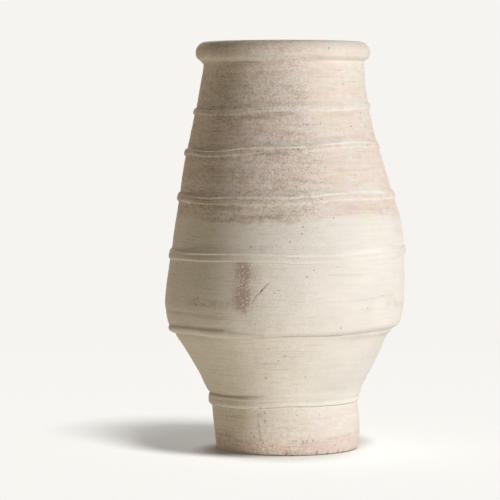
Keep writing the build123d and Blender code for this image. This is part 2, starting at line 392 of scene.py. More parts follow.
# Stains, and scuffs with painted shade under the rim and about the bands: strokes, with width in mm and
# strength
RUST_PATCH = [(243.5, 264), (243, 285), (242, 301)]
RUST_TAIL = [(242, 300), (245, 311)]
RUST_HALO = [(250, 270), (251, 290), (246, 306)]
STAINS = [(RUST_PATCH, 17.0, 1.3), (RUST_TAIL, 9.0, 0.75), (RUST_HALO, 19.0, 0.36)]
STAIN_RAGGED = 0.25
LEFT_STREAK = [(190, 301), (212, 304.5), (236, 304)]
RIGHT_STREAK = [(386, 303), (405, 304)]
FOOT_SCUFF = [(217, 434), (231, 437)]
BARE_RIM = [(328, 438.4), (347, 434.8), (361, 428.2)]
# Painted shade: the strokes below, but for the neck patch, darken where shade falls under the rim, about the
# bands and at the slip's worn edge
RIM_SHADE = [(222, 63.6), (258, 63.4)]
NECK_PATCH = [(222, 82), (232, 100), (240, 125)]
UPPER_SHOULDER_SHADE = [(212, 168), (240, 176)]
NECK_HIGH_SHADE = [(212, 106.6), (242, 104.6)]
NECK_LOW_SHADE = [(205, 117.6), (245, 117.2), (292, 114.4)]
COLLAR_SHADE = [(222, 158.6), (245, 156), (285, 152.8)]
SHOULDER_SHADE = [(185, 206), (212, 207), (240, 207.4)]
SLIP_EDGE_SHADE = [(212, 217), (245, 219.5), (295, 216)]
SCUFFS_AND_SHADE = [
    (LEFT_STREAK, 7.0, 0.55), (RIGHT_STREAK, 6.0, 0.3), (FOOT_SCUFF, 11.0, 0.8), (BARE_RIM, 2.0, 0.5),
    (RIM_SHADE, 3.0, 0.6), (NECK_PATCH, 30.0, 0.42), (UPPER_SHOULDER_SHADE, 26.0, 0.4), (NECK_HIGH_SHADE, 5.0, 0.6),
    (NECK_LOW_SHADE, 6.0, 0.95), (COLLAR_SHADE, 5.5, 0.9), (SHOULDER_SHADE, 4.5, 0.7),
    (SLIP_EDGE_SHADE, 11.0, 0.45),
]
HAIR_CRACK = [(257.7, 413), (258.7, 425), (260.5, 441)]
CRACK_WIDTH = 1.3
CRACK_DIRT = 0.6
# Spots on the front, and their width in mm
PITS = [
    (343, 84), (361, 113), (325, 48), (218, 195), (193, 249), (251, 247), (176, 264), (303, 227),
    (302, 234), (290, 242), (307, 277), (198, 298), (197, 305), (222, 330), (266, 378), (285, 356),
    (217, 403), (261, 408), (265, 413), (265, 421), (254, 437), (251, 433), (247, 443), (236, 443),
    (243, 450), (219, 439), (263, 443), (296, 441), (307, 441), (289, 446), (293, 441), (303, 442),
    (313, 441), (258, 416), (259, 426), (264, 445), (291, 455), (367, 145), (258, 151), (298, 149),
]
PIT_WIDTH = 1.5
WHITE_SPOTS = [(290, 107), (237, 174.6), (294, 347), (303, 350), (351, 148)]
WHITE_SPOT_WIDTH = 3.0
RED_SPOTS = [(286.5, 454), (338.4, 452.5), (343.5, 452), (328, 454), (317, 453.4)]
RED_SPOT_WIDTH = 2.6

# Lower edge of the slip's worn zone and upper edge of the bare foot, on the front. Each edge fades over a
# distance on the left and on the right, is ragged by a share of it, and starts and ends at shares of it
WORN_EDGE = [
    (176, 218.5), (200, 220.5), (221, 223), (245, 223), (275, 221), (300, 220.5), (345, 217), (394, 217),
]
WORN_FADE = (15 * MM, 5 * MM)
WORN_RAGGED = 0.4
WORN_REACH = (-0.8, 0.8)
BARE_EDGE = [(216, 443), (245, 442), (270, 440), (297, 440), (334, 437.4), (348, 434.6), (360, 428)]
BARE_FADE = (34 * MM, 6 * MM)
BARE_RAGGED = 0.2
BARE_REACH = (-1.0, 0.6)
FADE_TURN = (0.25, 0.6)
RAGGED_FINE_SHARE = 0.6
# How worn the slip is: everywhere, in the worn zone by height, low on the foot, in a pink patch, and in the
# front of the worn zone about an angle in degrees
SLIP_WORN = 0.06
WORN_BY_HEIGHT = [(0.45, 0.54), (0.50, 0.64), (0.60, 0.70), (0.67, 0.62), (0.72, 0.58), (0.80, 0.50)]
FOOT_WORN = 0.36
FOOT_WORN_TOP = (0.08, 0.105)
PINK_PATCH = [(350, 211), (372, 210), (393, 208.5)]
PINK_WIDTH = 12.0
PINK_WORN = 0.4
FRONT_WORN = 0.26
FRONT_WORN_PLACE = (-10, 24)
# How coarse the surface is, and how much smoother it is rubbed on the right
SLIP_COARSE = 0.36
COARSE_BY_HEIGHT = [(0.60, 0.64), (0.72, 0.60), (0.77, 0.35), (0.80, 0.25)]
FOOT_COARSE = 0.12
FOOT_TOP = (0.085, 0.11)
RUBBED_SMOOTH = (0.75, 0.1, 0.5)
INSIDE_COARSE = 0.6
# Depths below the neck's top over which the slip inside ends, and how much of the wear it covers
INSIDE_SLIP = (60 * MM, 10 * MM)
INSIDE_SLIP_COVER = 0.5
# Chance of small pits: everywhere, more in the worn zone, and more on the foot
SLIP_PITTED = 0.004
WORN_PITTED = 0.016
FOOT_PITTED = 0.05

# Colours, linear
CREAM = (0.835, 0.78, 0.70, 1)
GREEN_CREAM = (0.80, 0.765, 0.655, 1)
WORN_CLAY = (0.78, 0.645, 0.525, 1)
PINK_CLAY = (0.79, 0.64, 0.57, 1)
BARE_CLAY = (0.79, 0.64, 0.55, 1)
# Chalk for grog and pale flecks, and painted highlight along the bands' and the rim's light lines
CHALK_AND_HIGHLIGHT = (0.92, 0.885, 0.815, 1)
# Dirt, and painted shade in the grooves, the band corners and under the rim and the keel band
DIRT_AND_SHADE = (0.27, 0.185, 0.115, 1)
STAIN = (0.41, 0.27, 0.225, 1)
# Scuffs, and painted shade under the rim and about the bands
SCUFF_AND_SHADE = (0.44, 0.335, 0.245, 1)
PIT = (0.20, 0.135, 0.09, 1)
SPECK_TINT = (0.50, 0.445, 0.385, 1)
RED = (0.45, 0.17, 0.13, 1)

# Noise in the clay: features per metre along each axis, detail, roughness and distortion
STREAK_NOISE = ((9, 9, 190), 5, 0.6, 0.0)
SMEAR_NOISE = ((15, 15, 95), 4, 0.5, 1.4)
BRUSH_NOISE = ((13, 13, 400), 3, 0.6, 0.0)
FLAKE_NOISE = ((52, 52, 150), 4, 0.65, 0.0)
MOTTLE_NOISE = ((85, 85, 85), 6, 0.66, 0.0)
GRAIN_NOISE = ((310, 310, 310), 3, 0.7, 0.0)
RUST_NOISE = ((330, 330, 330), 3, 0.6, 0.0)
PATCH_NOISE = ((12, 12, 12), 3, 0.6, 0.0)
HUE_NOISE = ((17, 17, 17), 2, 0.6, 0.0)
PIT_CELLS = 135
GROG_CELLS = 330
# Tones of a pattern: where it is dark, how much, where it is light, how much, and its pale colour
BRUSH_TONES = ((0.56, 0.70), 0.32, (0.42, 0.30), 0.32, CHALK_AND_HIGHLIGHT)
SMEAR_TONES = ((0.46, 0.32), 0.13, (0.49, 0.64), 0.42, GREEN_CREAM)
FLAKE_TONES = ((0.47, 0.36), 0.32, (0.52, 0.64), 0.55, CHALK_AND_HIGHLIGHT)
SAND_TONES = ((0.46, 0.60), 0.52, (0.50, 0.40), 0.55, CHALK_AND_HIGHLIGHT)
BARE_SHARE = 0.9
PIT_SHARE = 0.7
GROG_SHARE = 0.7
STAIN_LIMIT = 0.8
SCUFF_AND_SHADE_SHARE = 0.7
RELIEF_DEPTH = 0.6 * MM
SHEEN = 0.25

# Studio floor. It looks plain, and its bounce on the jar is set by side and by distance from the jar
BACKDROP = (0.922, 0.905, 0.871, 1)
AMBIENT = (0.085, 0.072, 0.052, 1)
FLOOR_SIZE = 60.0
FLOOR_GAP = 0.4 * MM
FLOOR_COLOUR = (0.51, 0.505, 0.49, 1)
FLOOR_GLOW = 0.28
FLOOR_GLOW_FROM = (0.15, 0.5)
FOOT_GLOW = 0.06
BACKDROP_FROM = (1.2, 2.6)
NEAR_BOUNCE = (0.48, 0.432, 0.35, 1)
FAR_BOUNCE = (0.30, 0.256, 0.188, 1)
FAR_FROM = (0.55, 1.1)
FOOT_BOUNCE = (0.29, 0.252, 0.182, 1)
FOOT_BOUNCE_TO = (0.14, 0.34)
FRONT_BOUNCE = (0.88, 0.79, 0.635, 1)
FRONT_WAY = (0.0, -1.0, 0.0)
FRONT_SPREAD = (0.6, 0.98)
FRONT_REACH = (1.9, 0.75)
RIGHT_BOUNCE = (0.34, 0.32, 0.285, 1)
RIGHT_WAY = (1.0, 0.0, 0.0)
RIGHT_SPREAD = (-0.15, 0.5)
RING_BOUNCE = (0.12, 0.10, 0.075, 1)
RING_TO = (0.138, 0.158)
UNDER_BOUNCE = (0.80, 0.76, 0.70, 1)
UNDER_TO = (0.124, 0.134)
# Lamps on the jar alone: name, azimuth and elevation in degrees, power and colour
LAMP_AIM = Vector((0.0, 0.0, 0.42))
LAMP_DISTANCE = 6.0
LAMP_SIZE = (1.7, 3.4)
COOL_LIGHT = (0.955, 0.965, 1.0)
WARM_LIGHT = (1.0, 0.86, 0.64)
SOFT_LIGHT = (1.0, 0.97, 0.92)
SOFTBOXES = [
    ("key_softbox", 51, 6, 390.0, COOL_LIGHT), ("left_edge_softbox", -120, 8, 50.0, WARM_LIGHT),
    ("right_edge_softbox", 120, 8, 20.0, COOL_LIGHT), ("behind_softbox", 180, 35, 190.0, SOFT_LIGHT),
]
# Suns on the floor alone: name, azimuth, elevation and spread in degrees, and strength
FLOOR_SUN = ("floor_light", 39, 66, 15, 4.08)
BACK_SUN = ("floor_back_light", 168, 64, 30, 1.95)


def smooth_curve(points, steps):
    """Points along a smooth curve through the given ones, with this many steps between two of them."""
    points = np.array(points, float)
    padded = np.vstack([2 * points[0] - points[1], points, 2 * points[-1] - points[-2]])
    share = np.arange(steps)[:, None] / steps
    runs = []
    for before, start, end, after in zip(padded, padded[1:], padded[2:], padded[3:]):
        turn = 2 * before - 5 * start + 4 * end - after
        bend = 3 * (start - end) + after - before
        runs.append(start + 0.5 * share * (end - before + share * (turn + share * bend)))
    return np.vstack(runs + [points[-1:]])


def smooth(share):
    return share * share * (3 - 2 * share)


def soft_step(value, start, end):
    """0 before start and 1 after end, with a smooth rise between them."""
    return smooth(np.clip((value - start) / (end - start), 0, 1))


def less(value, loss, start, end):
    """1 before start, and smoothly less by a loss after end."""
    return 1 - loss * soft_step(value, start, end)


def hump(value, rise, fall):
    """1 between two places, with a smooth rise over one stretch and a smooth fall over the other."""
    return soft_step(value, *rise) * less(value, 1, *fall)


def bell(value, middle, width):
    """1 at the middle, fading away to both sides over the width."""
    return np.exp(-(((value - middle) / width) ** 2))


def by_height(height, table):
    heights, values = zip(*table)
    return np.interp(height, heights, values)


def bumps(angle, height, width, tall, seed):
    """Smooth random swells from -1 to 1, about this wide round the belly and this tall, with no seam."""
    fewest_columns = 3
    headroom = 1.3
    margin = 2
    columns = max(fewest_columns, round(2 * math.pi * BELLY_RADIUS / width))
    rows = math.ceil(headroom * JAR_HEIGHT / tall) + 2 * margin
    values = np.random.default_rng(seed).uniform(-1, 1, (rows, columns))
    along = angle / (2 * math.pi) % 1 * columns
    up = height / tall + margin
    column = np.floor(along).astype(int)
    row = np.floor(up).astype(int)
    across = smooth(along - column)
    rise = smooth(up - row)
    column = column % columns
    next_column = (column + 1) % columns
    low = values[row, column] * (1 - across) + values[row, next_column] * across
    high = values[row + 1, column] * (1 - across) + values[row + 1, next_column] * across
    return low * (1 - rise) + high * rise


def all_round(rows):
    """The angle of every column, for this many rows of points."""
    return np.broadcast_to(ANGLES, (rows, COLUMNS))


def uneven(seed, amount, length, draw):
    """Smooth random swells once round the jar."""
    one_height = np.full(COLUMNS, 0.1)
    one_row = 0.2
    return amount * bumps(ANGLES, one_height, length, one_row, seed + draw)


def solid_radius(node, bottom, top, outside):
    """Radius of a wall's CAD solid by height, as a smooth curve through a few measured heights."""
    outward = np.array([math.cos(MEASURED_SIDE), math.sin(MEASURED_SIDE), 0.0])
    heights = np.linspace(bottom + CLEAR_OF_EDGES, top - CLEAR_OF_EDGES, MEASURED_HEIGHTS)
    radii = []
    for height in heights:
        axis_point = np.array([0.0, 0.0, height])
        if outside:
            _, spot, _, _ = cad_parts[node].ray_cast(axis_point + outward, -outward)
        else:
            _, spot, _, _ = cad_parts[node].ray_cast(axis_point, outward)
        radii.append(math.hypot(spot.x, spot.y))
    return np.polynomial.Polynomial.fit(heights, radii, MEASURED_DEGREE)


class Wall:
    """A thrown section of the jar, with the heights and radii of its CAD solid."""

    def __init__(self, name, slot, bottom):
        self.name = name
        self.slot = slot
        self.bottom = bottom
        self.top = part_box(name)[1].z
        self.outer = solid_radius(name, self.bottom, self.top, True)
        self.inner = solid_radius(name, self.bottom, self.top, False)

    def thickness(self, height):
        return self.outer(height) - self.inner(height)


def stack_walls():
    walls = []
    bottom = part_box("base_slab")[1].z
    for name, slot in WALLS:
        walls.append(Wall(name, slot, bottom))
        bottom = walls[-1].top
    return walls


def side_radius(height):
    """Radius of the jar's true outside at a height."""
    radius = walls[0].outer(height)
    for wall in walls[1:]:
        radius = np.where(height >= wall.bottom, wall.outer(height), radius)
    return radius


def wander(height):
    """How far the jar's axis lies to the right of the true one and behind it, at a height."""
    to_right = np.interp(height, *axis_curve)
    to_back = BACK_WANDER * np.sin(2 * math.pi * height / BACK_WANDER_LENGTH)
    return to_right, to_back


def on_jar(pixel):
    """Angle and height of the spot on the jar's side that a pixel of the photo shows."""
    column, row = pixel
    middle = PHOTO_SIZE / 2
    sight = FOCAL_PIXELS * FORWARD + (column - middle) * SIDEWAYS + (middle - row) * UPWARD
    depth = 0.0
    for _ in range(SIGHT_ROUNDS):
        spot = EYE + sight * (depth - EYE[1]) / sight[1]
        to_right, to_back = wander(spot[2])
        radius = float(side_radius(spot[2]))
        across = np.clip((spot[0] - to_right) / radius, -OUTLINE_LIMIT, OUTLINE_LIMIT)
        depth = to_back - radius * math.sqrt(1 - across * across)
    return math.asin(across), spot[2]


def round_line(pixels):
    """Height by angle of a line that runs right round the jar through pixels of the front."""
    spots = np.array([on_jar(pixel) for pixel in pixels])
    orders = np.arange(1, LINE_WAVES + 1)

    def terms(angle):
        turns = np.multiply.outer(angle, orders)
        return np.concatenate([np.ones(np.shape(angle) + (1,)), np.cos(turns), np.sin(turns)], axis=-1)

    keep_calm = LINE_STIFFNESS * np.diag(np.concatenate([[0], orders**2, orders**2]))
    rows = np.vstack([terms(spots[:, 0]), keep_calm])
    wanted = np.concatenate([spots[:, 1], np.zeros(len(keep_calm))])
    shares = np.linalg.lstsq(rows, wanted, rcond=None)[0]
    return lambda angle: terms(angle) @ shares


def stroke(angle, height, pixels, width):
    """How near points lie to a stroke through pixels of the front: 1 on it, and fading over its width."""
    spots = np.array([on_jar(pixel) for pixel in pixels])
    radius = float(side_radius(spots[:, 1].mean()))
    reach = STROKE_REACH * width
    if height.min() > spots[:, 1].max() + reach or height.max() < spots[:, 1].min() - reach:
        return np.zeros(angle.shape)
    nearest = np.full(angle.shape, np.inf)
    no_length = 1e-12
    for start, end in zip(spots, spots[1:] if len(spots) > 1 else spots):
        run = np.array([(end[0] - start[0]) * radius, end[1] - start[1]])
        across = (angle - start[0]) * radius
        up = height - start[1]
        share = np.clip((across * run[0] + up * run[1]) / max(run @ run, no_length), 0, 1)
        nearest = np.minimum(nearest, np.hypot(across - share * run[0], up - share * run[1]))
    return bell(nearest, 0, width)


def strongest(angle, height, marks):
    """The strongest of several strokes at every point, each with its pixels, width in mm and strength."""
    level = np.zeros(angle.shape)
    for pixels, width, strength in marks:
        level = np.maximum(level, strength * stroke(angle, height, pixels, width * MM))
    return level


def dots(spots, width):
    """A stroke of one pixel for each spot."""
    return [([spot], width, 1.0) for spot in spots]


def groove_strength(angle, height, line, width, fade_in, fade_out):
    """How near points lie to a long groove: 1 in it, and fading over its width and at its ends."""
    present = hump(np.degrees(angle), fade_in, fade_out)
    breaks = GROOVE_EVEN + GROOVE_UNEVEN * bumps(angle, height, *GROOVE_BREAKS)
    return present * breaks * bell(height, line(angle), width * MM)


def hand_shape(angle, height):
    """How far the potter's hand and later knocks left the outside from true."""
    shape = np.interp(height, *full_curve)
    for depth, swells in HAND_RELIEF:
        shape = shape + depth * bumps(angle, height, *swells)
    for pixels, width, depth, _ in CUTS:
        shape = shape - depth * MM * stroke(angle, height, pixels, width * MM)
    for line, width, depth, _, *fades in grooves:
        shape = shape - depth * MM * groove_strength(angle, height, line, width, *fades)
    return shape


def inside_shape(angle, height):
    """Finger rings of the throwing on the inside, which climb as they go round."""
    turns = 2 * math.pi * height / INNER_RING_CLIMB + angle
    rings = np.sin(turns + INNER_RING_SWAY * bumps(angle, height, *INNER_RING_DRIFT))
    return INNER_RING_DEPTH * rings + INNER_DENT_DEPTH * bumps(angle, height, *INNER_DENTS)


def key_rows(wall, height, seam_wall, key_radius):
    """Lower half of a round key, on the middle of the seam's wall, from the inside to the outside."""
    inner = wall.inner(height)
    middle = inner + seam_wall / 2
    rows = []
    for turn in np.linspace(math.pi, 2 * math.pi, KEY_STEPS + 2):
        radius = middle + key_radius * math.cos(turn)
        rows.append((radius, height + key_radius * math.sin(turn), (radius - inner) / wall.thickness(height)))
    return rows


def wall_loop(wall):
    """Section of a wall as a closed loop: radius, height, and 1 on the outside to 0 on the inside."""
    outer_rows = math.ceil((wall.top - wall.bottom) / OUTER_ROW)
    inner_rows = math.ceil((wall.top - wall.bottom) / INNER_ROW)
    loop = []
    for height in np.linspace(wall.bottom, wall.top, outer_rows + 1):
        loop.append((wall.outer(height), height, 1.0))
    loop += reversed(key_rows(wall, wall.top, wall.thickness(wall.top), KEY_GROOVE_RADIUS))
    for height in np.linspace(wall.top, wall.bottom, inner_rows + 1):
        loop.append((wall.inner(height), height, 0.0))
    loop += key_rows(wall, wall.bottom, walls[0].thickness(walls[0].bottom), KEY_RADIUS)
    return np.array(loop)


def grid_mesh(name, radius, angle, height, masks, capped):
    """A closed mesh of rings of points: a tube whose last ring meets the first, or a disc with two poles."""
    to_right, to_back = wander(height)
    points = np.stack([radius * np.sin(angle) + to_right, to_back - radius * np.cos(angle), height], axis=-1)
    rows, columns = radius.shape
    number = np.arange(rows * columns).reshape(rows, columns)
    if not capped:
        number = np.vstack([number, number[:1]])
    lower = number[:-1]
    upper = number[1:]
    quads = np.stack([lower, np.roll(lower, -1, axis=1), np.roll(upper, -1, axis=1), upper], axis=-1)
    points = points.reshape(-1, 3)
    faces = quads.reshape(-1, 4).tolist()
    values = {mask: amount.reshape(-1) for mask, amount in masks.items()}
    if capped:
        for ring, backwards in ((number[0], True), (number[-1], False)):
            pole = len(points)
            points = np.vstack([points, points[ring].mean(axis=0)])
            for mask in values:
                values[mask] = np.append(values[mask], values[mask][ring].mean())
            fan = np.stack([ring, np.roll(ring, -1), np.full(columns, pole)], axis=-1)
            faces += (fan[:, ::-1] if backwards else fan).tolist()
    mesh = bpy.data.meshes.new(name)
    mesh.from_pydata(points.tolist(), [], faces)
    mesh.polygons.foreach_set("use_smooth", [True] * len(mesh.polygons))
    mesh.set_sharp_from_angle(angle=SHARP_EDGE)
    for mask, amount in values.items():
        layer = mesh.attributes.new(mask, "FLOAT", "POINT")
        layer.data.foreach_set("value", amount.astype(np.float32))
    return mesh


def add_piece(node, slot, radius, angle, height, masks, capped=False):
    """A clay piece on the jar's body, in place of a CAD solid."""
    name = node + "_clay"
    piece = bpy.data.objects.new(name, grid_mesh(name, radius, angle, height, masks, capped))
    bpy.context.scene.collection.objects.link(piece)
    piece.data.materials.append(materials[slot])
    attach(piece, "root")
    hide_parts(node)
    return piece


def edge_fade(away, angle, fade, ragged, reach):
    """0 before a ragged edge and 1 past it, over a distance that differs on the left and on the right."""
    on_left, on_right = fade
    distance = on_left + (on_right - on_left) * soft_step(np.sin(angle), *FADE_TURN)
    start, end = reach
    return soft_step(away + distance * ragged, start * distance, end * distance)


def dirt_and_shade_level(angle, height):
    """Dirt in the hair crack, the cuts and the pits, and painted shade in the long grooves."""
    crack = CRACK_DIRT * (0.5 + 0.5 * bumps(angle, height, *CRACK_BREAKS))
    dirt_and_shade = crack * stroke(angle, height, HAIR_CRACK, CRACK_WIDTH * MM)
    cuts = [(pixels, width, amount) for pixels, width, _, amount in CUTS]
    dirt_and_shade = np.maximum(dirt_and_shade, strongest(angle, height, cuts + dots(PITS, PIT_WIDTH)))
    for line, width, _, amount, *fades in grooves:
        dirt_and_shade = np.maximum(dirt_and_shade, amount * groove_strength(angle, height, line, width, *fades))
    return dirt_and_shade


def surface_masks(angle, height, outside):
    """Where the slip is worn, the clay bare or coarse, and where dirt, painted shade, stains, chalk and
    painted highlight lie.
    """
    ragged = bumps(angle, height, *RAGGED_BROAD) + RAGGED_FINE_SHARE * bumps(angle, height, *RAGGED_FINE)
    above = edge_fade(height - worn_edge(angle), angle, WORN_FADE, WORN_RAGGED * ragged, WORN_REACH)
    bare = edge_fade(bare_edge(angle) - height, angle, BARE_FADE, BARE_RAGGED * ragged, BARE_REACH)
    foot = less(height, 1, *FOOT_TOP)
    worn = SLIP_WORN + above * by_height(height, WORN_BY_HEIGHT)
    worn = worn + FOOT_WORN * less(height, 1, *FOOT_WORN_TOP)
    worn = worn + PINK_WORN * stroke(angle, height, PINK_PATCH, PINK_WIDTH * MM)
    worn = worn + FRONT_WORN * above * bell(np.degrees(angle), *FRONT_WORN_PLACE)
    coarse = SLIP_COARSE + above * by_height(height, COARSE_BY_HEIGHT) + FOOT_COARSE * foot
    rubbed = less(np.sin(angle), *RUBBED_SMOOTH)
    neck_top = walls[-1].top
    slip_end, slip_whole = INSIDE_SLIP
    slip_inside = soft_step(height, neck_top - slip_end, neck_top - slip_whole)
    inside = 1 - outside
    return {
        "worn": worn * outside + inside * (1 - INSIDE_SLIP_COVER * slip_inside),
        "bare": bare * outside + inside * (1 - slip_inside),
        "coarse": np.clip(np.maximum(coarse, bare) * rubbed, 0, 1) * outside + INSIDE_COARSE * inside,
        "dirt_and_shade": dirt_and_shade_level(angle, height) * outside,
        "stain": strongest(angle, height, STAINS) * (1 + STAIN_RAGGED * ragged) * outside,
        "red": strongest(angle, height, dots(RED_SPOTS, RED_SPOT_WIDTH)) * outside,
        "scuff_and_shade": strongest(angle, height, SCUFFS_AND_SHADE) * outside,
        "chalk_and_highlight": strongest(angle, height, dots(WHITE_SPOTS, WHITE_SPOT_WIDTH)) * outside,
        "pitted": (SLIP_PITTED + WORN_PITTED * above + FOOT_PITTED * foot) * outside,
    }


def build_wall(wall):
    loop = wall_loop(wall)
    angle = all_round(len(loop))
    radius, height, outside = [np.broadcast_to(column[:, None], angle.shape) for column in loop.T]
    if wall.name == "belly_wall":
        tucked = outside * soft_step(keel_edge(angle) - height, -TUCK_HALF, TUCK_HALF)
        radius = radius * (1 - tucked) + (walls[1].outer(height) - TUCK_DEPTH) * tucked
    moved = outside * hand_shape(angle, height) + (1 - outside) * inside_shape(angle, height)
    masks = surface_masks(angle, height, outside)
    return add_piece(wall.name, wall.slot, radius + moved, angle, height, masks)


def blended(firm, smeared, plain=None, turn=BAND_TURN):
    """Section of a band at every angle, firm on the left and smeared on the right: a table per coordinate."""
    left, right = [smooth_curve(section, SECTION_STEPS)[:, :, None] for section in (firm, smeared)]
    across = np.sin(ANGLES)
    to_right = soft_step(across, *turn)
    section = left * (1 - to_right) + right * to_right
    if plain:
        ends = smooth_curve(plain, SECTION_STEPS)[:, :, None]
        at_ends = less(across, 1, *LEFT_END) + soft_step(across, *RIGHT_END)
        section = section * (1 - at_ends) + ends * at_ends
    return np.moveaxis(section, 1, 0)


def ring_of_clay(node, front_height, front_radius, pale, grime_and_shade):
    """A band's mesh from its front, with a back sunk in the wall."""
    share = np.linspace(0, 1, BAND_BACK_STEPS + 2)[1:-1, None]
    back_height = front_height[-1] * (1 - share) + front_height[0] * share
    back_angle = all_round(len(back_height))
    back_radius = side_radius(back_height) + hand_shape(back_angle, back_height) - BAND_SINK
    height = np.vstack([front_height, back_height])
    radius = np.vstack([front_radius, back_radius])
    angle = all_round(len(height))
    masks = surface_masks(angle, height, np.ones(height.shape))
    masks["worn"] = BAND_WORN * masks["worn"]
    masks["stain"] = BAND_STAINED * masks["stain"]
    clean_back = np.zeros(back_height.shape)
    # Pale slip on the band, partly painted highlight along its light lines; dirt with painted shade in its
    # corners
    masks["chalk_and_highlight"] = np.maximum(masks["chalk_and_highlight"], np.vstack([BAND_PALE_AND_HIGHLIGHT * pale, clean_back]))
    masks["dirt_and_shade"] = np.maximum(masks["dirt_and_shade"], np.vstack([grime_and_shade, clean_back]))
    return add_piece(node, "band_slip", radius, angle, height, masks)


def build_band(node, pixels, sections, half_height, proud, pressed_flat, seed, under_shade):
    """A clay band along a hand-laid line, on the wall as the hand left it."""
    share, stand, pale = blended(*sections)
    across = np.sin(ANGLES)
    middle = round_line(pixels)(ANGLES) + uneven(seed, *BAND_LINE_WAVER)
    breadth = half_height * MM * (1 + uneven(seed, *BAND_BREADTH))
    flat = pressed_flat * hump(np.degrees(ANGLES), *PRESSED_SPAN)
    press = proud * MM * (1 + uneven(seed, *BAND_PRESS)) * (1 - flat)
    waver = uneven(seed, *BAND_CREST_WAVER) * np.clip(1 - np.abs(share) / WAVER_REACH, 0, 1)
    height = middle + (share + waver) * breadth
    angle = all_round(len(height))
    tuck = EDGE_TUCK * (stand < EDGE_STAND)
    radius = side_radius(height) + hand_shape(angle, height) + stand * press - tuck
    cover = np.clip(BAND_COVER + uneven(seed, *BAND_SLIP) + uneven(seed, *BAND_FINE_SLIP), 0, 1)
    cover = cover * less(across, *COVER_LOSS)
    # Painted shade in the band's corners, less of it on the right, and a painted shadow under its lower edge
    in_corner = sum(amount * hump(share, rise, fall) for amount, rise, fall in BAND_CORNERS)
    grime_and_shade = CORNER_SHADE * in_corner * np.clip(CORNER_SHADE_COVER + uneven(seed, *BAND_SHADE_UNEVEN), 0, 1)
    grime_and_shade = grime_and_shade * less(across, *CORNER_SHADE_LOSS)
    undercut = soft_step(across, *UNDERCUT_FROM) * bell(share, *UNDERCUT_PLACE)
    grime_and_shade = np.maximum(grime_and_shade, under_shade * undercut)
    return ring_of_clay(node, height, radius, pale * cover, grime_and_shade)


def build_keel_band():
    """The lip under the belly: it bridges the step from the lower wall to the belly."""
    lower, belly = walls[1], walls[2]
    rise, stand, pale, on_belly = blended(FIRM_KEEL, SMEARED_KEEL, turn=KEEL_TURN)
    height = keel_edge(ANGLES) + uneven(KEEL_SEED, *KEEL_LINE_WAVER) + rise * MM
    angle = all_round(len(height))
    seat = lower.outer(height) * (1 - on_belly) + belly.outer(height) * on_belly
    press = MM * (1 + uneven(KEEL_SEED, *KEEL_PRESS))
    tuck = np.zeros(height.shape)
    tuck[[0, -1]] = EDGE_TUCK
    radius = seat + hand_shape(angle, height) + stand * press - tuck
    cover = np.clip(KEEL_COVER + uneven(KEEL_SEED, *KEEL_SLIP), 0, 1)
    # Painted shade under the keel band's lip, more of it on the right
    under = bell(on_belly, *KEEL_SHADE_PLACE) * (stand > KEEL_SHADE_STAND)
    level = KEEL_SHADE_LEFT + KEEL_SHADE_MORE * soft_step(np.sin(ANGLES), *KEEL_SHADE_TURN)
    grime_and_shade = level * under * np.clip(KEEL_SHADE_COVER + uneven(KEEL_SEED, *KEEL_SHADE_UNEVEN), 0, 1)
    return ring_of_clay("keel_band", height, radius, pale * cover, grime_and_shade)


def build_rim():
    """The rolled coil of the rim, smoothed down onto the neck on the left and tucked under on the right."""
    top_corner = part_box("rim_roll")[1]
    seat = np.broadcast_to(np.array(RIM_SEAT).T[:, :, None], (3, len(RIM_SEAT), COLUMNS))
    out, rise, pale = np.concatenate([blended(RIM_LEFT, RIM_RIGHT), seat], axis=1)
    out = out * MM
    rise = rise * MM
    angle = all_round(len(rise))
    height = top_corner.z - RIM_COIL_RADIUS + rise
    radius = top_corner.x - RIM_COIL_RADIUS + out + RIM_HAND_SHARE * hand_shape(angle, height)
    outside = soft_step(out, *RIM_OUTSIDE)
    masks = surface_masks(angle, height, outside)
    # Pale slip on the roll, partly painted highlight under it on the left
    cover = np.clip(RIM_COVER + uneven(RIM_SEED, *RIM_SLIP), 0, 1)
    masks["chalk_and_highlight"] = np.maximum(masks["chalk_and_highlight"], pale * cover)
    # Painted shade in the tuck under the roll on the left
    under = soft_step(-rise, *RIM_UNDER_SHADE_DEPTH) * hump(np.sin(angle), *RIM_UNDER_SHADE_SPAN)
    masks["dirt_and_shade"] = np.maximum(masks["dirt_and_shade"], RIM_UNDER_SHADE * under * outside)
    return add_piece("rim_roll", "worn_slip", radius, angle, height, masks)


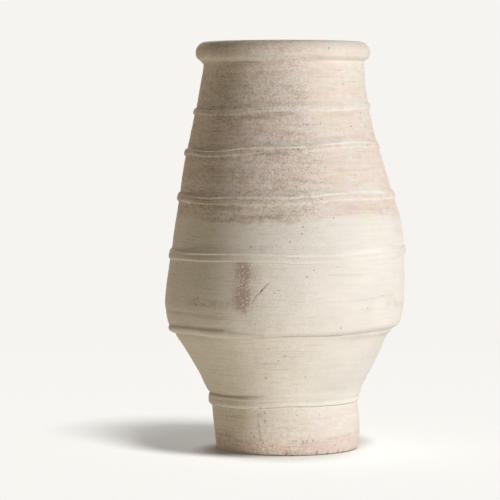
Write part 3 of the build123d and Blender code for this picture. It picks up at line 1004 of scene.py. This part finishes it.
def build_slab():
    """The floor disc, finger-ringed inside and cut off with a wire below."""
    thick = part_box("base_slab")[1].z
    wide = walls[0].outer(thick)
    narrow = wide - SLAB_TAPER
    flat_radius = narrow - SLAB_EDGE_ROUND
    section = [(radius, thick) for radius in np.linspace(SLAB_MIDDLE, wide - SLAB_MARGIN, SLAB_TOP_ROWS)]
    section += [(wide - depth, thick * share) for depth, share in SLAB_SIDE]
    for turn in np.linspace(SLAB_EDGE_START, math.pi / 2, SLAB_EDGE_STEPS):
        edge_radius = flat_radius + SLAB_EDGE_ROUND * math.cos(turn)
        section.append((edge_radius, SLAB_EDGE_ROUND - SLAB_EDGE_ROUND * math.sin(turn)))
    under = np.linspace(flat_radius - SLAB_MARGIN, SLAB_MIDDLE, SLAB_UNDER_ROWS)
    section += [(radius, 0.0) for radius in under]
    section = np.array(section)[::-1]
    angle = all_round(len(section))
    radius, level = [np.broadcast_to(column[:, None], angle.shape) for column in section.T]

    centre_x, centre_y = WIRE_CENTRE
    from_centre = np.hypot(radius * np.sin(angle) - centre_x, -radius * np.cos(angle) - centre_y)
    wire_sway = WIRE_SWAY * bumps(angle, level, *WIRE_DRIFT)
    cut = 0.5 - 0.5 * np.cos(2 * math.pi * from_centre / WIRE_PITCH + wire_sway)
    edge_start, edge_end = WIRE_MARGIN
    cut = WIRE_DEPTH * cut * (level == 0) * (1 - soft_step(radius, narrow - edge_start, narrow - edge_end))
    rings = np.cos(2 * math.pi * radius / FLOOR_RING_PITCH - angle)
    rings = FLOOR_RING_DEPTH * rings * (level == thick) * hump(radius, *FLOOR_RING_SPAN)
    outer_start, outer_end = SLAB_OUTSIDE
    outer = soft_step(radius, wide - outer_start, wide - outer_end)
    radius = radius + outer * hand_shape(angle, level)
    masks = surface_masks(angle, level, outer)
    return add_piece("base_slab", "bare_clay", radius, angle, level + cut + rings, masks, capped=True)


def build_floor_coil():
    """The coil in the corner of floor and foot, smoothed hollow by a finger."""
    low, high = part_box("floor_coil")
    size = high.z - low.z
    corner = walls[0].inner(low.z)
    let_in = low.z - COIL_OVERLAP
    section = []
    for turn in np.linspace(0, math.pi / 2, COIL_STEPS):
        section.append((corner - size + size * math.sin(turn), low.z + size - size * math.cos(turn)))
    for height in np.linspace(high.z, let_in, COIL_BACK_ROWS):
        section.append((walls[0].inner(height) + COIL_OVERLAP, height))
    section += [(corner - size * share, let_in) for share in COIL_UNDER]
    section = np.array(section)[::-1]
    angle = all_round(len(section))
    radius, height = [np.broadcast_to(column[:, None], angle.shape) for column in section.T]
    dents = 0.5 - 0.5 * np.cos(COIL_DENTS * angle + COIL_DENT_SWAY * bumps(angle, height, *DENT_DRIFT))
    in_hollow = (radius < corner - COIL_OVERLAP) * (height > low.z + COIL_OVERLAP)
    radius = radius + inside_shape(angle, height) + COIL_DENT_DEPTH * dents * in_hollow
    masks = surface_masks(angle, height, np.zeros_like(radius))
    return add_piece("floor_coil", "bare_clay", radius, angle, height, masks)


class ShaderTree:
    """Builds the nodes of a material or a world. A method that adds a node hands back its output."""

    def __init__(self, owner):
        owner.use_nodes = True
        self.tree = owner.node_tree
        self.tree.nodes.clear()

    def node(self, kind, output=0, inputs=None, **settings):
        """Adds a node, and gives its inputs values or other nodes' outputs."""
        made = self.tree.nodes.new(kind)
        for setting, value in settings.items():
            setattr(made, setting, value)
        for place, value in (inputs or {}).items():
            if isinstance(value, bpy.types.NodeSocket):
                self.tree.links.new(value, made.inputs[place])
            else:
                made.inputs[place].default_value = value
        return made.outputs[output]

    def show(self, kind, surface):
        """Links the finished surface to the output of the tree."""
        output = self.tree.nodes.new(kind)
        self.tree.links.new(surface, output.inputs["Surface"])

    def maths(self, operation, first, second):
        return self.node("ShaderNodeMath", inputs={0: first, 1: second}, operation=operation)

    def product(self, *factors):
        result = factors[0]
        for factor in factors[1:]:
            result = self.maths("MULTIPLY", result, factor)
        return result

    def weighted(self, start, *terms):
        """A start value plus every term's value times its weight."""
        total = start
        for value, weight in terms:
            inputs = {0: value, 1: weight, 2: total}
            total = self.node("ShaderNodeMath", inputs=inputs, operation="MULTIPLY_ADD")
        return total

    def ramp(self, value, start, end):
        """0 on the start's side and 1 on the end's, with a smooth change between them."""
        inputs = {0: value, 1: start, 2: end}
        return self.node("ShaderNodeMapRange", inputs=inputs, interpolation_type="SMOOTHSTEP")

    def blend(self, share, first, second, kind="MIX"):
        inputs = {0: share, 6: first, 7: second}
        return self.node("ShaderNodeMix", 2, inputs, data_type="RGBA", blend_type=kind)

    def mix(self, share, first, second):
        """A share of the second shader over the first."""
        return self.node("ShaderNodeMixShader", 0, {0: share, 1: first, 2: second})

    def noise(self, place, stretch, detail, rough, distortion):
        scaled = self.node("ShaderNodeMapping", 0, {"Vector": place, "Scale": stretch})
        inputs = {"Vector": scaled, "Scale": 1.0, "Detail": detail}
        inputs |= {"Roughness": rough, "Distortion": distortion}
        return self.node("ShaderNodeTexNoise", 0, inputs)

    def cells(self, place, scale):
        """Distance from the middle of the nearest random cell, and a random number for that cell."""
        away = self.node("ShaderNodeTexVoronoi", "Distance", {"Vector": place, "Scale": scale})
        return away, self.node("ShaderNodeSeparateColor", 0, {0: away.node.outputs["Color"]})

    def mask(self, name):
        return self.node("ShaderNodeAttribute", "Fac", attribute_name=name)

    def towards(self, way, direction):
        inputs = {0: way, 1: direction}
        return self.node("ShaderNodeVectorMath", "Value", inputs, operation="DOT_PRODUCT")

    def seen(self):
        """1 for rays that show a surface to the camera, and 0 for light that bounces off it."""
        ray = self.node("ShaderNodeLightPath", "Is Camera Ray")
        shown = self.maths("MAXIMUM", ray, ray.node.outputs["Is Glossy Ray"])
        return self.maths("MAXIMUM", shown, ray.node.outputs["Is Transmission Ray"])

    def toned(self, colour, pattern, where, tones):
        """Darkens and lightens a colour by a pattern."""
        dark_range, dark, light_range, light, pale = tones
        share = self.product(self.ramp(pattern, *dark_range), where, dark)
        colour = self.blend(share, colour, SPECK_TINT, "MULTIPLY")
        share = self.product(self.ramp(pattern, *light_range), where, light)
        return self.blend(share, colour, pale)


def clay_material(name):
    """Clay under a brushed slip that wears through to it, with grog, pits, dirt, stains, painted shade and
    painted highlight.
    """
    material = bpy.data.materials.new(name)
    tree = ShaderTree(material)
    place = tree.node("ShaderNodeTexCoord", "Object")
    streak = tree.noise(place, *STREAK_NOISE)
    smear = tree.noise(place, *SMEAR_NOISE)
    brush = tree.noise(place, *BRUSH_NOISE)
    flake = tree.noise(place, *FLAKE_NOISE)
    mottle = tree.noise(place, *MOTTLE_NOISE)
    grain = tree.noise(place, *GRAIN_NOISE)
    patch = tree.noise(place, *PATCH_NOISE)
    hue = tree.noise(place, *HUE_NOISE)
    coarse = tree.mask("coarse")
    worn = tree.mask("worn")

    # Slip worn through to the clay, bare clay at the foot, and chalk with painted highlight
    wiped = tree.ramp(smear, 0.5, 0.70)
    thin = tree.weighted(0.20, (worn, 1.0), (mottle, 0.4), (streak, 0.5), (patch, 0.5), (wiped, -0.42))
    slip_colour = tree.blend(tree.ramp(hue, 0.45, 0.75), CREAM, GREEN_CREAM)
    clay_colour = tree.blend(tree.ramp(hue, 0.35, 0.65), PINK_CLAY, WORN_CLAY)
    colour = tree.blend(tree.ramp(thin, 0.95, 1.9), slip_colour, clay_colour)
    ragged = tree.weighted(-1.0, (tree.mask("bare"), 1.0), (mottle, 1.2), (grain, 0.8))
    colour = tree.blend(tree.product(tree.ramp(ragged, 0.35, 0.85), BARE_SHARE), colour, BARE_CLAY)
    pale_and_highlight = tree.product(tree.mask("chalk_and_highlight"), tree.ramp(mottle, 0.22, 0.44))
    colour = tree.blend(pale_and_highlight, colour, CHALK_AND_HIGHLIGHT)

    # Unevenness, from broad to fine
    tone = tree.weighted(0.80, (streak, 0.24), (patch, 0.20), (coarse, 0.11))
    colour = tree.blend(1.0, colour, tone, "MULTIPLY")
    colour = tree.toned(colour, brush, tree.ramp(coarse, 0.0, 0.36), BRUSH_TONES)
    colour = tree.toned(colour, smear, tree.ramp(worn, 0.40, 0.62), SMEAR_TONES)
    colour = tree.toned(colour, flake, tree.ramp(coarse, 0.38, 0.95), FLAKE_TONES)
    sandy = tree.weighted(0.0, (grain, 0.58), (mottle, 0.20), (streak, 0.22))
    colour = tree.toned(colour, sandy, coarse, SAND_TONES)

    # Small pits and pale grog
    away, pick = tree.cells(place, PIT_CELLS)
    chance = tree.maths("ADD", pick, tree.mask("pitted"))
    pits = tree.product(tree.ramp(away, 0.24, 0.12), tree.ramp(chance, 0.975, 0.995))
    colour = tree.blend(tree.product(pits, PIT_SHARE), colour, PIT)
    away, pick = tree.cells(place, GROG_CELLS)
    grog = tree.product(tree.ramp(away, 0.42, 0.24), tree.ramp(pick, 0.84, 0.9), coarse)
    colour = tree.blend(tree.product(grog, GROG_SHARE), colour, CHALK_AND_HIGHLIGHT)

    # Rust, scuffs with painted shade, dirt with painted shade in grooves and band corners, and red spots
    blotchy = tree.ramp(tree.noise(place, *RUST_NOISE), 0.34, 0.56)
    rust = tree.maths("MINIMUM", tree.product(tree.mask("stain"), blotchy), STAIN_LIMIT)
    colour = tree.blend(rust, colour, STAIN)
    # Scuffs, and painted shade under the rim and about the bands
    patchy = tree.ramp(tree.weighted(0.0, (streak, 0.5), (mottle, 0.5)), 0.40, 0.58)
    colour = tree.blend(tree.product(tree.mask("scuff_and_shade"), patchy, SCUFF_AND_SHADE_SHARE), colour, SCUFF_AND_SHADE)
    grime_and_shade = tree.product(tree.mask("dirt_and_shade"), tree.ramp(mottle, 0.22, 0.46))
    colour = tree.blend(grime_and_shade, colour, DIRT_AND_SHADE)
    colour = tree.blend(tree.mask("red"), colour, RED)

    crust = tree.weighted(0.0, (grain, 3.6), (mottle, 3.2), (streak, 1.2))
    relief = tree.weighted(tree.product(crust, coarse), (streak, 0.25), (pits, -1.0))
    bump = tree.node("ShaderNodeBump", 0, {"Strength": 1.0, "Distance": RELIEF_DEPTH, "Height": relief})
    rough = tree.weighted(0.74, (mottle, 0.18))
    surface = tree.node("ShaderNodeBsdfPrincipled", 0, {
        "Base Color": colour, "Roughness": rough, "Specular IOR Level": SHEEN, "Normal": bump})
    tree.show("ShaderNodeOutputMaterial", surface)
    return material


def floor_material():
    """A matt floor that fades into the backdrop, glows on the jar, and is clear from below."""
    material = bpy.data.materials.new("studio_floor")
    tree = ShaderTree(material)
    place = tree.node("ShaderNodeTexCoord", "Object")
    away = tree.node("ShaderNodeVectorMath", "Value", {0: place}, operation="LENGTH")
    way = tree.node("ShaderNodeVectorMath", 0, {0: place}, operation="NORMALIZE")

    matt = tree.node("ShaderNodeBsdfDiffuse", 0, {"Color": FLOOR_COLOUR})
    plain = tree.node("ShaderNodeEmission", 0, {"Color": BACKDROP})
    glow = tree.product(tree.ramp(away, *FLOOR_GLOW_FROM), FLOOR_GLOW)
    glow = tree.maths("MAXIMUM", glow, FOOT_GLOW)
    looks = tree.mix(tree.maths("MAXIMUM", tree.ramp(away, *BACKDROP_FROM), glow), matt, plain)

    bounced = tree.blend(tree.ramp(away, *FAR_FROM), NEAR_BOUNCE, FAR_BOUNCE)
    bounced = tree.blend(tree.ramp(away, *FOOT_BOUNCE_TO), FOOT_BOUNCE, bounced)
    front = tree.ramp(tree.towards(way, FRONT_WAY), *FRONT_SPREAD)
    front = tree.product(front, tree.ramp(away, *FRONT_REACH))
    bounced = tree.blend(front, bounced, FRONT_BOUNCE)
    right = tree.ramp(tree.towards(way, RIGHT_WAY), *RIGHT_SPREAD)
    bounced = tree.blend(right, bounced, RIGHT_BOUNCE)
    bounced = tree.blend(tree.ramp(away, *RING_TO), RING_BOUNCE, bounced)
    bounced = tree.blend(tree.ramp(away, *UNDER_TO), UNDER_BOUNCE, bounced)
    bounce = tree.node("ShaderNodeEmission", 0, {"Color": bounced})

    top = tree.mix(tree.seen(), bounce, looks)
    below = tree.node("ShaderNodeNewGeometry", "Backfacing")
    clear = tree.node("ShaderNodeBsdfTransparent")
    tree.show("ShaderNodeOutputMaterial", tree.mix(below, top, clear))
    return material


def build_floor():
    half = FLOOR_SIZE / 2
    corners = [(-half, -half, 0), (half, -half, 0), (half, half, 0), (-half, half, 0)]
    mesh = bpy.data.meshes.new("studio_floor")
    mesh.from_pydata(corners, [], [(0, 1, 2, 3)])
    mesh.materials.append(floor_material())
    floor = bpy.data.objects.new("studio_floor", mesh)
    floor.location.z = -FLOOR_GAP
    bpy.context.scene.collection.objects.link(floor)
    return floor


def add_lamp(name, kind, azimuth, elevation, receivers):
    """A lamp round the jar, from the camera's side towards its right, that lights some objects only."""
    azimuth = math.radians(azimuth)
    elevation = math.radians(elevation)
    flat = math.cos(elevation)
    away = Vector((flat * math.sin(azimuth), -flat * math.cos(azimuth), math.sin(elevation)))
    lamp = bpy.data.objects.new(name, bpy.data.lights.new(name, kind))
    bpy.context.scene.collection.objects.link(lamp)
    lamp.location = LAMP_AIM + LAMP_DISTANCE * away
    lamp.rotation_euler = (-away).to_track_quat("-Z", "Y").to_euler()
    lamp.light_linking.receiver_collection = receivers
    return lamp


def add_sun(name, azimuth, elevation, spread, strength, receivers):
    sun = add_lamp(name, "SUN", azimuth, elevation, receivers)
    sun.data.energy = strength
    sun.data.angle = math.radians(spread)
    return sun


def build_lights(floor, foot_pieces):
    not_floor = bpy.data.collections.new("lit_by_softboxes")
    not_floor.objects.link(floor)
    not_floor.collection_objects[0].light_linking.link_state = "EXCLUDE"
    for name, azimuth, elevation, power, colour in SOFTBOXES:
        lamp = add_lamp(name, "AREA", azimuth, elevation, not_floor)
        lamp.data.shape = "RECTANGLE"
        lamp.data.size, lamp.data.size_y = LAMP_SIZE
        lamp.data.energy = power
        lamp.data.color = colour

    only_floor = bpy.data.collections.new("lit_by_floor_light")
    only_floor.objects.link(floor)
    add_sun(*FLOOR_SUN, only_floor)
    back = add_sun(*BACK_SUN, only_floor)
    only_foot = bpy.data.collections.new("blocks_back_light")
    for piece in foot_pieces:
        only_foot.objects.link(piece)
    back.light_linking.blocker_collection = only_foot


def build_world():
    world = bpy.data.worlds.new("studio")
    bpy.context.scene.world = world
    tree = ShaderTree(world)
    dim = tree.node("ShaderNodeBackground", 0, {"Color": AMBIENT, "Strength": 1.0})
    plain = tree.node("ShaderNodeBackground", 0, {"Color": BACKDROP, "Strength": 1.0})
    tree.show("ShaderNodeOutputWorld", tree.mix(tree.seen(), dim, plain))


def build_camera():
    camera = bpy.data.objects.new("camera", bpy.data.cameras.new("camera"))
    bpy.context.scene.collection.objects.link(camera)
    camera.location = Vector(EYE)
    camera.rotation_euler = (math.pi / 2 - PITCH_DOWN, 0.0, 0.0)
    camera.data.lens = LENS
    camera.data.sensor_width = SENSOR
    camera.data.clip_end = VIEW_END
    bpy.context.scene.camera = camera


bpy.context.view_layer.update()
walls = stack_walls()
axis_curve = smooth_curve(AXIS_WANDER, CURVE_STEPS).T * MM
full_curve = smooth_curve(FULLNESS, CURVE_STEPS).T * MM
worn_edge = round_line(WORN_EDGE)
bare_edge = round_line(BARE_EDGE)
keel_edge = round_line(KEEL_LINE)
grooves = [(round_line(pixels), *sizes) for pixels, *sizes in GROOVES]
materials = {slot: clay_material(slot) for slot in SLOTS}

wall_pieces = [build_wall(wall) for wall in walls]
build_rim()
slab = build_slab()
build_floor_coil()
foot_band = build_band(*FOOT_BAND)
build_keel_band()
for band in UPPER_BANDS:
    build_band(*band)

floor = build_floor()
build_lights(floor, [slab, wall_pieces[0], foot_band])
build_world()
build_camera()
bpy.context.scene.view_settings.view_transform = "Standard"
